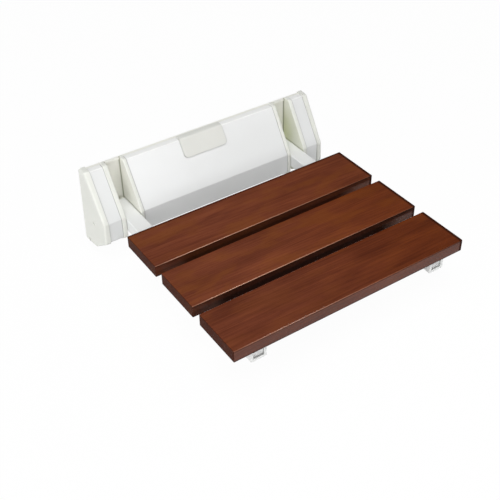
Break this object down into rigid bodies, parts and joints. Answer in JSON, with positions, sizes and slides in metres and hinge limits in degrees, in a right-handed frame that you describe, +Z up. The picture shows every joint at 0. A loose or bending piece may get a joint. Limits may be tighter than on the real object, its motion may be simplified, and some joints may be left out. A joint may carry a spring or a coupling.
{
  "type": "fold down wall seat",
  "caption": "Slatted hardwood seat on tube arms, hinged in the pockets of a slim white wall unit, that folds up flat against the wall.",
  "frame": {"origin": "on the wall face, in the middle of the four wall screw holes", "axes": "+X along the wall to the right as seen from the room, +Y into the wall, +Z up; the seat stands out along -Y"},
  "size_m": [0.39, 0.3725, 0.1201],
  "materials": {
    "white_powder_coat": "satin white powder coat",
    "plate_powder_coat": "satin off-white powder coat",
    "arm_powder_coat": "satin white powder coat",
    "cap_plastic": "moulded off-white plastic with a fine grain",
    "badge_plastic": "plain off-white plastic plate",
    "plug_plastic": "moulded white plastic",
    "bush_plastic": "natural nylon",
    "zinc_steel": "bright zinc plate",
    "cast_aluminium": "as cast",
    "lacquered_hardwood": "satin lacquered red-brown hardwood, grain along the boards"
  },
  "bodies": {
    "wall_unit": {"cheek_screws": "white_powder_coat", "centre_cover": "white_powder_coat", "ear_cover_left": "white_powder_coat", "ear_cover_right": "white_powder_coat", "wall_plate": "plate_powder_coat", "hinge_bracket_left": "plate_powder_coat", "hinge_bracket_right": "plate_powder_coat", "centre_cap_left": "cap_plastic", "centre_cap_right": "cap_plastic", "ear_cap_left": "cap_plastic", "ear_cap_right": "cap_plastic", "cheek_cap_left": "cap_plastic", "cheek_cap_right": "cap_plastic", "badge_plate": "badge_plastic", "hinge_spacers_left": "bush_plastic", "hinge_spacers_right": "bush_plastic", "bracket_screws": "zinc_steel", "cover_screws": "zinc_steel", "hinge_pin_left": "zinc_steel", "hinge_pin_right": "zinc_steel", "retaining_ring_left": "zinc_steel", "retaining_ring_right": "zinc_steel"},
    "seat": {"arm_tube_left": "arm_powder_coat", "arm_tube_right": "arm_powder_coat", "arm_plug_left": "plug_plastic", "arm_plug_right": "plug_plastic", "hinge_bush_left": "bush_plastic", "hinge_bush_right": "bush_plastic", "board_screws": "zinc_steel", "arm_knuckle_left": "cast_aluminium", "arm_knuckle_right": "cast_aluminium", "board_rear": "lacquered_hardwood", "board_middle": "lacquered_hardwood", "board_front": "lacquered_hardwood"}
  },
  "joints": [
    {"name": "seat_fold", "type": "hinge", "parent": "wall_unit", "child": "seat", "pos_m": [0, -0.028, -0.017], "axis": [-1, 0, 0], "range_deg": [0, 90]}
  ]
}
